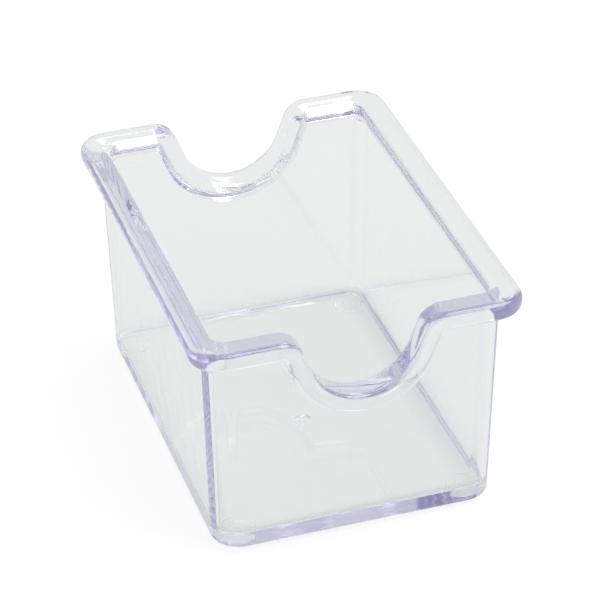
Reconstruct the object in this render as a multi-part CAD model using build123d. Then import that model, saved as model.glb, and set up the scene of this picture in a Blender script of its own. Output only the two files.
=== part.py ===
from build123d import *
import os
from math import cos, radians, sin, tan

# Sugar packet holder: one clear injection moulding, an open tray with a rounded rim that
# dips into a finger scoop at each short end, standing on four clear bumper feet.
# Millimetres, +Z up, Y along the length, front at -Y. The origin is the centre of the
# footprint, on the table that the feet stand on.

# --- driving dimensions ---------------------------------------------------------------
overall_length = 95.0        # over the rim, along Y
overall_width = 70.0         # over the rim, along X
overall_height = 52.0        # table to the top of the rim

side_wall_thickness = 2.3
end_wall_thickness = 3.2     # the two ends with the scoops are heavier
floor_thickness = 2.2
draft_angle = 1.4            # degrees, each wall leans outward towards the rim
corner_radius = 6.2          # upright outside corners of the walls
well_corner_radius = 2.6     # upright inside corners of the walls
base_edge_radius = 0.8       # outside edge round the floor
floor_edge_radius = 1.0      # inside edge round the floor

rim_overhang = 3.5           # how far the rim stands out from the walls
rim_thickness = 3.8          # top of the rim to its underside
rim_corner_radius = 6.6      # corners of the rim, seen from above
rim_inner_radius = 1.8       # rounding over the inside of the rim
rim_underside_fall = 17.5    # degrees, the underside falls from the rim's edge to the wall
full_round_flat = 0.1        # sliver of flat that a full-round edge keeps

scoop_depth = 15.6           # top of the rim down to the lowest point of a scoop
scoop_radius = 11.7          # round bottom of a scoop
scoop_flank_angle = 20.0     # degrees, lean of the scoop's straight flanks
shoulder_radius = 5.2        # where a flank turns into the level rim

foot_diameter = 6.6
foot_height = 1.0
foot_edge_bevel = 0.35       # bevel round the lower edge of a foot
foot_inset_side = 5.6        # foot centre in from the floor's long edge
foot_inset_end = 6.8         # foot centre in from the floor's short edge
foot_bond_gap = 0.05         # adhesive film between a foot and the floor

gate_dimple_diameter = 3.6   # round dimple under the floor where the plastic was let in
gate_dimple_depth = 0.5
gate_stub_diameter = 1.5     # broken-off gate standing in the dimple
gate_stub_height = 0.35
gate_y = -3.6                # the gate lies a little in front of the floor's centre

# --- what follows from them -------------------------------------------------------------
floor_under = foot_height + foot_bond_gap
tray_height = overall_height - floor_under
floor_top = floor_under + floor_thickness
wall_lean = tan(radians(draft_angle))
base_width = overall_width - 2 * (rim_overhang + tray_height * wall_lean)
base_length = overall_length - 2 * (rim_overhang + tray_height * wall_lean)
rim_edge_radius = (rim_thickness - full_round_flat) / 2
underside_drop = tan(radians(rim_underside_fall))
shoulder_x = (
    scoop_radius + shoulder_radius
    + (scoop_depth - scoop_radius - shoulder_radius) * sin(radians(scoop_flank_angle))
) / cos(radians(scoop_flank_angle))
cutter_margin = 5.0          # how far cutting solids run past what they cut
behind_face = 0.55           # how far the rim's underside is cut in behind the wall's face
least_radius = 0.05


def leaning_walls(plane, half_base, half_across, bottom, ceiling):
    """Solid between two walls that lean out with the draft, as long as it is wanted across."""
    low = half_base + (bottom - floor_under) * wall_lean
    high = half_base + (ceiling - floor_under) * wall_lean
    section = Polyline((-low, bottom), (low, bottom), (high, ceiling), (-high, ceiling), close=True)
    return extrude(plane * make_face(section), amount=half_across, both=True)


def drafted_solid(bottom, ceiling, side_inset, end_inset, upright_radius, edge_radius):
    """Leaning box between two heights, its uprights and its lower edge rounded."""
    sides = leaning_walls(Plane.XZ, base_width / 2 - side_inset, overall_length, bottom, ceiling)
    ends = leaning_walls(Plane.YZ, base_length / 2 - end_inset, overall_length, bottom, ceiling)
    solid = sides & ends
    uprights = solid.edges().filter_by(lambda edge: abs(edge.tangent_at(0.5).Z) > 0.9)
    solid = fillet(uprights, upright_radius)
    lower_edges = solid.faces().sort_by(Axis.Z)[0].edges()
    return fillet(lower_edges, edge_radius)


def rim_line_face(depth, reach):
    """Section of everything under the rim's line, or under a parallel line that lies deeper.

    The line is level, rolls over each shoulder, runs down the flank and round the scoop.
    A parallel line keeps the centres and changes only the radii.
    """
    scoop_centre = overall_height - scoop_depth + scoop_radius
    shoulder_centre = overall_height - shoulder_radius
    scoop_r = scoop_radius + depth
    shoulder_r = max(shoulder_radius - depth, least_radius)
    level = overall_height - depth

    left_shoulder = CenterArc((-shoulder_x, shoulder_centre), shoulder_r, 90, scoop_flank_angle - 90)
    right_shoulder = CenterArc(
        (shoulder_x, shoulder_centre), shoulder_r, 180 - scoop_flank_angle, scoop_flank_angle - 90
    )
    bowl = CenterArc(
        (0, scoop_centre), scoop_r, 180 + scoop_flank_angle, 180 - 2 * scoop_flank_angle
    )
    outline = Wire([
        Line((-reach, -cutter_margin), (-reach, level)),
        Line((-reach, level), left_shoulder @ 0),
        left_shoulder,
        Line(left_shoulder @ 1, bowl @ 0),
        bowl,
        Line(bowl @ 1, right_shoulder @ 0),
        right_shoulder,
        Line(right_shoulder @ 1, (reach, level)),
        Line((reach, level), (reach, -cutter_margin)),
        Line((reach, -cutter_margin), (-reach, -cutter_margin)),
    ])
    return make_face(outline.edges())


def below_rim_line(depth, reach, half_length):
    """Everything under the rim's line or a parallel one, between two widths and two lengths."""
    return extrude(Plane.XZ * rim_line_face(depth, reach), amount=half_length, both=True)


def level_rim(height, spread):
    """Outline of the rim's level part at one height, larger all round by the spread."""
    outline = RectangleRounded(
        overall_width + 2 * spread, overall_length + 2 * spread, rim_corner_radius + spread
    )
    return Pos(0, 0, height) * outline


def rim_blank():
    """The rim before its edges are rounded: its underside falls from the edge to the wall."""
    reach = rim_overhang + behind_face
    near_depth = rim_thickness - underside_drop
    far_depth = rim_thickness + reach * underside_drop
    scooped = shoulder_x + cutter_margin

    near = overall_height - near_depth
    flare = loft([level_rim(overall_height - far_depth, -reach), level_rim(near, 1)], ruled=True)
    under_level = extrude(Rectangle(2 * overall_width, 2 * overall_length), amount=near) - flare
    between_shoulders = Rectangle(2 * scooped, 2 * overall_length)
    blank = extrude(level_rim(0, 0), amount=overall_height + cutter_margin)
    blank -= under_level - extrude(between_shoulders, amount=overall_height)
    for end in (-1, 1):
        outer = Plane.XZ.offset(end * (overall_length / 2 + 1)) * rim_line_face(near_depth, scooped)
        inner = Plane.XZ.offset(end * (overall_length / 2 - reach))
        blank -= loft([outer, inner * rim_line_face(far_depth, scooped)], ruled=True)
    return blank - below_rim_line(far_depth, scooped, overall_length / 2 - reach)


def gate_dimple():
    """Shallow round hollow under the floor, with the gate's stub left standing in it."""
    ceiling = Pos(0, gate_y, floor_under + gate_dimple_depth)
    hollow = extrude(ceiling * Circle(gate_dimple_diameter / 2), amount=-gate_dimple_depth)
    stub = extrude(ceiling * Circle(gate_stub_diameter / 2), amount=-gate_stub_height)
    return hollow - stub


def tray():
    """The moulding: drafted walls and floor, the rim round the mouth and the two scoops."""
    ceiling = overall_height + cutter_margin
    walls = drafted_solid(floor_under, ceiling, 0, 0, corner_radius, base_edge_radius)
    body = (walls + rim_blank()) & below_rim_line(0, overall_width, overall_length)
    rim_outside = body.faces().filter_by(lambda face: abs(face.normal_at().Z) < 0.001)
    rim_edges = rim_outside.edges().filter_by(Axis.Z, reverse=True)
    body = fillet(rim_edges, rim_edge_radius)

    cavity = drafted_solid(
        floor_top, ceiling, side_wall_thickness, end_wall_thickness,
        well_corner_radius, floor_edge_radius,
    )
    hollow = body - cavity
    mouth = new_edges(body, cavity, combined=hollow)
    return fillet(mouth, rim_inner_radius) - gate_dimple()


def foot(x_side, y_side):
    """One clear stick-on bumper under a corner of the floor."""
    x = x_side * (base_width / 2 - foot_inset_side)
    y = y_side * (base_length / 2 - foot_inset_end)
    disc = extrude(Pos(x, y, 0) * Circle(foot_diameter / 2), amount=foot_height)
    lower_edge = disc.edges().filter_by(GeomType.CIRCLE).sort_by(Axis.Z)[0]
    return chamfer(lower_edge, foot_edge_bevel)


pieces = {
    "tray": tray(),
    "foot_front_left": foot(-1, -1),
    "foot_front_right": foot(1, -1),
    "foot_back_left": foot(-1, 1),
    "foot_back_right": foot(1, 1),
}

os.makedirs("parts", exist_ok=True)
for name, piece in pieces.items():
    export_step(piece, f"parts/{name}.step")
    print(name, "volume", round(piece.volume, 1), "valid", piece.is_valid)
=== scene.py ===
import math

import bpy
from mathutils import Matrix, Vector

# A clear plastic sugar packet holder on a white studio floor. Metres, +Z up, front at -Y.

MM = 0.001

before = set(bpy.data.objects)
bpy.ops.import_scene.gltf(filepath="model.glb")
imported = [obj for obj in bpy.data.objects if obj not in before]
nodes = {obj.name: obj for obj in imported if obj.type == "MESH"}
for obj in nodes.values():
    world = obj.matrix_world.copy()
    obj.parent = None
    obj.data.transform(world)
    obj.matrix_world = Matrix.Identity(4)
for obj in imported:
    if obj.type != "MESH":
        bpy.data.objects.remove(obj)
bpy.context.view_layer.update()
scene = bpy.context.scene
scene.view_settings.view_transform = "Standard"
BOUNCES = 160                       # light runs far along the inside of the walls and rim
scene.cycles.max_bounces = BOUNCES
scene.cycles.glossy_bounces = BOUNCES
scene.cycles.transmission_bounces = BOUNCES


# --- a small notation for shader nodes --------------------------------------------------


class Signal:
    """One output socket. Arithmetic on it adds Math nodes to the same tree."""

    def __init__(self, tree, socket):
        self.tree = tree
        self.socket = socket

    def node(self, kind, settings=None, output=0, **inputs):
        return add_node(self.tree, kind, settings, output, **inputs)

    def _math(self, operation, a, b):
        return self.node("ShaderNodeMath", {"operation": operation}, in_0=a, in_1=b)

    def __add__(self, other):
        return self._math("ADD", self, other)

    def __sub__(self, other):
        return self._math("SUBTRACT", self, other)

    def __rsub__(self, other):
        return self._math("SUBTRACT", other, self)

    def __mul__(self, other):
        return self._math("MULTIPLY", self, other)

    __radd__ = __add__
    __rmul__ = __mul__

    def size(self):
        return self._math("ABSOLUTE", self, 0)

    def at_most(self, other):
        return self._math("MINIMUM", self, other)

    def at_least(self, other):
        return self._math("MAXIMUM", self, other)

    def between(self, low, high):
        """0 below low, 1 above high, and a smooth step from one to the other."""
        return self.node(
            "ShaderNodeMapRange",
            {"interpolation_type": "SMOOTHSTEP"},
            Value=self, From_Min=low, From_Max=high,
        )


def add_node(tree, kind, settings=None, output=0, **inputs):
    """Adds a node: first its settings, then its inputs as values or links. Returns an output.

    An input is named with _ for each blank, or in_0, in_1 and so on by its place.
    """
    made = tree.nodes.new(kind)
    for name, value in (settings or {}).items():
        setattr(made, name, value)
    for name, value in inputs.items():
        key = int(name[3:]) if name.startswith("in_") else name.replace("_", " ")
        target = made.inputs[key]
        if isinstance(value, Signal):
            tree.links.new(value.socket, target)
        else:
            target.default_value = value
    return Signal(tree, made.outputs[output])


def new_material(name):
    """An empty node material, with its tree and its output node."""
    material = bpy.data.materials.new(name)
    material.use_nodes = True
    tree = material.node_tree
    tree.nodes.clear()
    end = tree.nodes.new("ShaderNodeOutputMaterial")
    return material, tree, end


def mix_colour(tree, share, a, b):
    """Colour a where the share is 0, colour b where it is 1."""
    settings = {"data_type": "RGBA"}
    return add_node(tree, "ShaderNodeMix", settings, output=2, in_0=share, in_6=a, in_7=b)


# --- materials ----------------------------------------------------------------------------

WHITE = (1, 1, 1, 1)
OBJECT_COORDS, NORMAL_COORDS = 3, 1  # outputs of a Texture Coordinate node

PLASTIC_IOR = 1.58
TINT = (0.30, 0.27, 0.655, 1)       # what a violet-blued clear plastic lets through
TINT_DENSITY = 6.2                  # per metre
PAINTED_SHADE_TONE = (0.74, 0.74, 0.79, 1)   # painted shade: grey along the floor's inner edges, where the walls shade it
BUMPER_IOR = 1.5
DUST_TONE = (0.75, 0.74, 0.70, 1)
RIM_FALL = 1800.0                   # shades the rim's underside some degrees steeper

# Places on the moulding. ACROSS is from the middle towards a side, ALONG towards an end, and
# each pair is where something starts and where it is complete.
FOOT_X, FOOT_Y = 24.655 * MM, 35.955 * MM
RIM_EDGE_ACROSS, RIM_EDGE_ALONG = 33.6 * MM, 46.1 * MM
RIM_TOP_UP = (50.5 * MM, 51.8 * MM)
RIM_UP = (20.0 * MM, 25.0 * MM)
UNDERSIDE_UP = (1.2 * MM, 1.6 * MM)
BASE_EDGE_ACROSS, BASE_EDGE_ALONG = (24.0 * MM, 28.0 * MM), (37.0 * MM, 41.0 * MM)
INSIDE_ACROSS, INSIDE_ALONG = (28.7 * MM, 29.2 * MM), (40.3 * MM, 41.0 * MM)
PAINTED_SHADE_ACROSS, PAINTED_SHADE_ALONG = (21.5 * MM, 27.9 * MM), (35.5 * MM, 39.5 * MM)
INSIDE_FLOOR_UP = (2.6 * MM, 3.0 * MM)
PAINTED_SHADE_TOP_UP = (3.4 * MM, 4.6 * MM)
EDGE_ROUND_UP, EDGE_ROUND_TOP_UP = (3.25 * MM, 3.35 * MM), (4.4 * MM, 6.0 * MM)
FLOOR_TOP_UP = (3.0 * MM, 4.2 * MM)
FOOT_PATCH = (3.0 * MM, 3.4 * MM)     # from a foot's centre
FOOT_PATCH_UP = (1.1 * MM, 1.3 * MM)


def stretched(tree, place, x, y, z):
    """The place with each axis scaled, so that a texture is drawn out along the small ones."""
    times = {"operation": "MULTIPLY"}
    return add_node(tree, "ShaderNodeVectorMath", times, in_0=place, in_1=(x, y, z))


def axes_of(tree, vector):
    """The vector's x, y and z."""
    split = add_node(tree, "ShaderNodeSeparateXYZ", Vector=vector)
    return [Signal(tree, out) for out in split.socket.node.outputs]


def noise(tree, place, scale, detail=2.0):
    """Soft noise between 0 and 1, with its scale in swells per metre."""
    return add_node(tree, "ShaderNodeTexNoise", Vector=place, Scale=scale, Detail=detail)


def specks(tree, place, scale, size, share):
    """1 inside small round specks, in a share of the cells, and 0 elsewhere."""
    cell = {"feature": "F1"}
    gap = add_node(tree, "ShaderNodeTexVoronoi", cell, Vector=place, Scale=scale)
    pick = add_node(tree, "ShaderNodeTexVoronoi", cell, output=1, Vector=place, Scale=scale)
    red = axes_of(tree, pick)[0]
    return (1 - gap.between(size * 0.6, size)) * (1 - red.between(share, share + 0.01))


def clear_plastic():
    material, tree, end = new_material("clear_violet_plastic")
    place = add_node(tree, "ShaderNodeTexCoord", output=OBJECT_COORDS)
    x, y, z = axes_of(tree, place)
    across, along = x.size(), y.size()
    faces_up = axes_of(tree, add_node(tree, "ShaderNodeTexCoord", output=NORMAL_COORDS))[2]
    upright = 1 - faces_up.size().between(0.2, 0.6)
    rim_top = z.between(*RIM_TOP_UP)
    under_rim = (0 - faces_up).between(0.80, 0.93) * z.between(*RIM_UP)

    # the moulding's skin: slow waviness, flow lines up the walls, hairline scratches on top
    waves = noise(tree, place, 60.0)
    flow = noise(tree, stretched(tree, place, 1, 1, 0.04), 700.0, 1.0) * upright
    hairs = noise(tree, stretched(tree, place, 0.12, 1, 1), 2600.0, 1.0).between(0.66, 0.74)
    pits = specks(tree, place, 420.0, 0.10, 0.05)
    near_edge = across.between(*BASE_EDGE_ACROSS).at_least(along.between(*BASE_EDGE_ALONG))
    base_waves = noise(tree, place, 110.0) * near_edge * (1 - z.between(*UNDERSIDE_UP))
    height = waves + base_waves * 2.2 + flow * 0.025 + hairs * rim_top * 0.01 - pits * 0.03
    from_rim_edge = (RIM_EDGE_ACROSS - across).at_most(RIM_EDGE_ALONG - along)
    height = height + from_rim_edge * under_rim * RIM_FALL
    bump = add_node(tree, "ShaderNodeBump", Height=height, Strength=0.12, Distance=0.4 * MM)

    # painted shade inside, grey along the floor's edges by the walls, and the patches where the
    # feet are stuck on
    inside = (1 - across.between(*INSIDE_ACROSS)) * (1 - along.between(*INSIDE_ALONG))
    above_floor = z.between(*INSIDE_FLOOR_UP) * inside
    # painted shade: a grey band on the floor next to each wall, fading up the wall
    near_wall = across.between(*PAINTED_SHADE_ACROSS).at_least(along.between(*PAINTED_SHADE_ALONG))
    painted_shade = above_floor * near_wall * (1 - z.between(*PAINTED_SHADE_TOP_UP))
    edge_blur = above_floor * z.between(*EDGE_ROUND_UP) * (1 - z.between(*EDGE_ROUND_TOP_UP))
    off_x, off_y = across - FOOT_X, along - FOOT_Y
    from_foot = off_x * off_x + off_y * off_y
    patch_start, patch_end = FOOT_PATCH
    stuck = 1 - from_foot.between(patch_start ** 2, patch_end ** 2)
    stuck = stuck * (1 - z.between(*FOOT_PATCH_UP))

    # polish: the floor is a little duller than the walls, and the rim's top is rubbed
    floor = 1 - z.between(*FLOOR_TOP_UP)
    rubbed = noise(tree, place, 260.0, 3.0).between(0.52, 0.72)
    polish = floor * 0.022 + rubbed * rim_top * 0.04 + hairs * rim_top * 0.06 + pits * 0.2 + 0.010
    polish = polish + edge_blur * 0.28 + stuck * 0.05 + under_rim * 0.16
    # painted shade: grey mixed into the colour along the floor's edges, a little uneven with the
    # waves
    tone = mix_colour(tree, painted_shade * (waves * 0.6 + 0.6), WHITE, PAINTED_SHADE_TONE)
    skin = add_node(
        tree, "ShaderNodeBsdfPrincipled",
        Base_Color=tone, Roughness=polish, IOR=PLASTIC_IOR,
        Transmission_Weight=1.0, Normal=bump, Alpha=1 - stuck * 0.8,
    )
    tree.links.new(skin.socket, end.inputs["Surface"])
    body = add_node(tree, "ShaderNodeVolumeAbsorption", Color=TINT, Density=TINT_DENSITY)
    tree.links.new(body.socket, end.inputs["Volume"])
    return material


def clear_bumper():
    material, tree, end = new_material("clear_soft_bumper")
    place = add_node(tree, "ShaderNodeTexCoord", output=OBJECT_COORDS)
    grain = noise(tree, place, 1500.0)
    dust = specks(tree, place, 900.0, 0.2, 0.15)
    bump = add_node(tree, "ShaderNodeBump", Height=grain, Strength=0.10, Distance=0.2 * MM)
    skin = add_node(
        tree, "ShaderNodeBsdfPrincipled",
        Base_Color=mix_colour(tree, dust, WHITE, DUST_TONE),
        Roughness=grain * 0.12 + dust * 0.3 + 0.02, IOR=BUMPER_IOR,
        Transmission_Weight=1.0, Normal=bump,
    )
    tree.links.new(skin.socket, end.inputs["Surface"])
    return material


def dress(node, material):
    """Puts the material on the only slot of a piece."""
    mesh = nodes[node].data
    mesh.materials.clear()
    mesh.materials.append(material)


plastic = clear_plastic()
bumper = clear_bumper()
dress("tray", plastic)
for foot in ("foot_front_left", "foot_front_right", "foot_back_left", "foot_back_right"):
    dress(foot, bumper)


# --- studio ---------------------------------------------------------------------------------

SEEN_WHITE = 1.0                    # backdrop as the camera meets it
SEEN_THROUGH = 0.83                 # the same backdrop through and in the plastic
THROUGH_TONE = (0.985, 1.0, 0.985, 1)
FLOOR_SHARE_LIT = 0.14              # how much of the floor's brightness its lighting gives
FLOOR_SHARE_LIT_THROUGH = 0.08      # the same, seen through the plastic
FLOOR_TONE = (0.9, 0.9, 0.9, 1)
FLOOR_SIZE = 8.0
FLOOR_CLEARANCE = 0.2 * MM          # how far it lies under the feet
SKY_LIGHT = 1.0                     # what the world lights the object with
AIM = (0, 0, 30 * MM)               # what the softboxes point at


def rays(tree):
    """1 for rays straight from the camera, and 1 for rays by way of plastic or gloss."""
    path = tree.nodes.new("ShaderNodeLightPath")
    camera = Signal(tree, path.outputs["Is Camera Ray"])
    glossy = Signal(tree, path.outputs["Is Glossy Ray"])
    passed = Signal(tree, path.outputs["Is Transmission Ray"])
    return camera, glossy.at_least(passed)


def studio_floor():
    bpy.ops.mesh.primitive_plane_add(size=FLOOR_SIZE, location=(0, 0, -FLOOR_CLEARANCE))
    floor = bpy.context.object
    floor.name = "studio_floor"
    material, tree, end = new_material("white_floor")
    camera, by_plastic = rays(tree)
    glow = add_node(
        tree, "ShaderNodeEmission",
        Color=mix_colour(tree, by_plastic, WHITE, THROUGH_TONE),
        Strength=camera * SEEN_WHITE + by_plastic * SEEN_THROUGH,
    )
    lit = add_node(tree, "ShaderNodeBsdfDiffuse", Color=FLOOR_TONE)
    share = camera * (1 - FLOOR_SHARE_LIT) + by_plastic * (1 - FLOOR_SHARE_LIT_THROUGH)
    mixed = add_node(tree, "ShaderNodeMixShader", in_0=share, in_1=lit, in_2=glow)
    tree.links.new(mixed.socket, end.inputs["Surface"])
    floor.data.materials.append(material)


def studio_world():
    world = bpy.data.worlds.new("studio")
    scene.world = world
    world.use_nodes = True
    tree = world.node_tree
    tree.nodes.clear()
    end = tree.nodes.new("ShaderNodeOutputWorld")
    camera, by_plastic = rays(tree)
    strength = camera * SEEN_WHITE + by_plastic * SEEN_THROUGH
    strength = strength + (1 - (camera + by_plastic)) * SKY_LIGHT
    colour = mix_colour(tree, by_plastic, WHITE, THROUGH_TONE)
    sky = add_node(tree, "ShaderNodeBackground", Color=colour, Strength=strength)
    tree.links.new(sky.socket, end.inputs["Surface"])


def softbox(name, place, width, height, watts):
    """A rectangular lamp that points at the tray. Metres and watts."""
    light = bpy.data.lights.new(name, "AREA")
    light.shape = "RECTANGLE"
    light.size = width
    light.size_y = height
    light.energy = watts
    lamp = bpy.data.objects.new(name, light)
    lamp.location = place
    lamp.rotation_euler = (Vector(AIM) - Vector(place)).to_track_quat("-Z", "Y").to_euler()
    scene.collection.objects.link(lamp)


studio_floor()
studio_world()
softbox("key", (0.45, -0.26, 0.95), 0.7, 0.6, 7)
softbox("rim light", (0.52, 0.44, 0.80), 0.30, 0.24, 0.9)


# --- camera ----------------------------------------------------------------------------------

VIEW_AZIMUTH = math.radians(-17.69)
VIEW_ELEVATION = math.radians(32.879)
VIEW_ROLL = math.radians(-0.763)
VIEW_DISTANCE = 641.917 * MM
FRAME_WIDTH_PX = 600
FOCAL_PX = 2929.79
CENTRE_RIGHT = 1.031 * MM           # the picture's centre, from the origin under the tray
CENTRE_UP = 25.438 * MM
NEAREST_SEEN, FARTHEST_SEEN = 10 * MM, 50.0


def photo_camera():
    cos_e = math.cos(VIEW_ELEVATION)
    back = Vector((
        math.sin(VIEW_AZIMUTH) * cos_e,
        -math.cos(VIEW_AZIMUTH) * cos_e,
        math.sin(VIEW_ELEVATION),
    ))
    level = Vector((math.cos(VIEW_AZIMUTH), math.sin(VIEW_AZIMUTH), 0))
    upright = back.cross(level)
    right = math.cos(VIEW_ROLL) * level + math.sin(VIEW_ROLL) * upright
    up = -math.sin(VIEW_ROLL) * level + math.cos(VIEW_ROLL) * upright
    data = bpy.data.cameras.new("photo_view")
    data.lens = FOCAL_PX / FRAME_WIDTH_PX * data.sensor_width
    data.clip_start = NEAREST_SEEN
    data.clip_end = FARTHEST_SEEN
    camera = bpy.data.objects.new("photo_view", data)
    place = right * CENTRE_RIGHT + up * CENTRE_UP + back * VIEW_DISTANCE
    turn = Matrix((right, up, back)).transposed().to_4x4()
    camera.matrix_world = Matrix.Translation(place) @ turn
    scene.collection.objects.link(camera)
    scene.camera = camera


photo_camera()
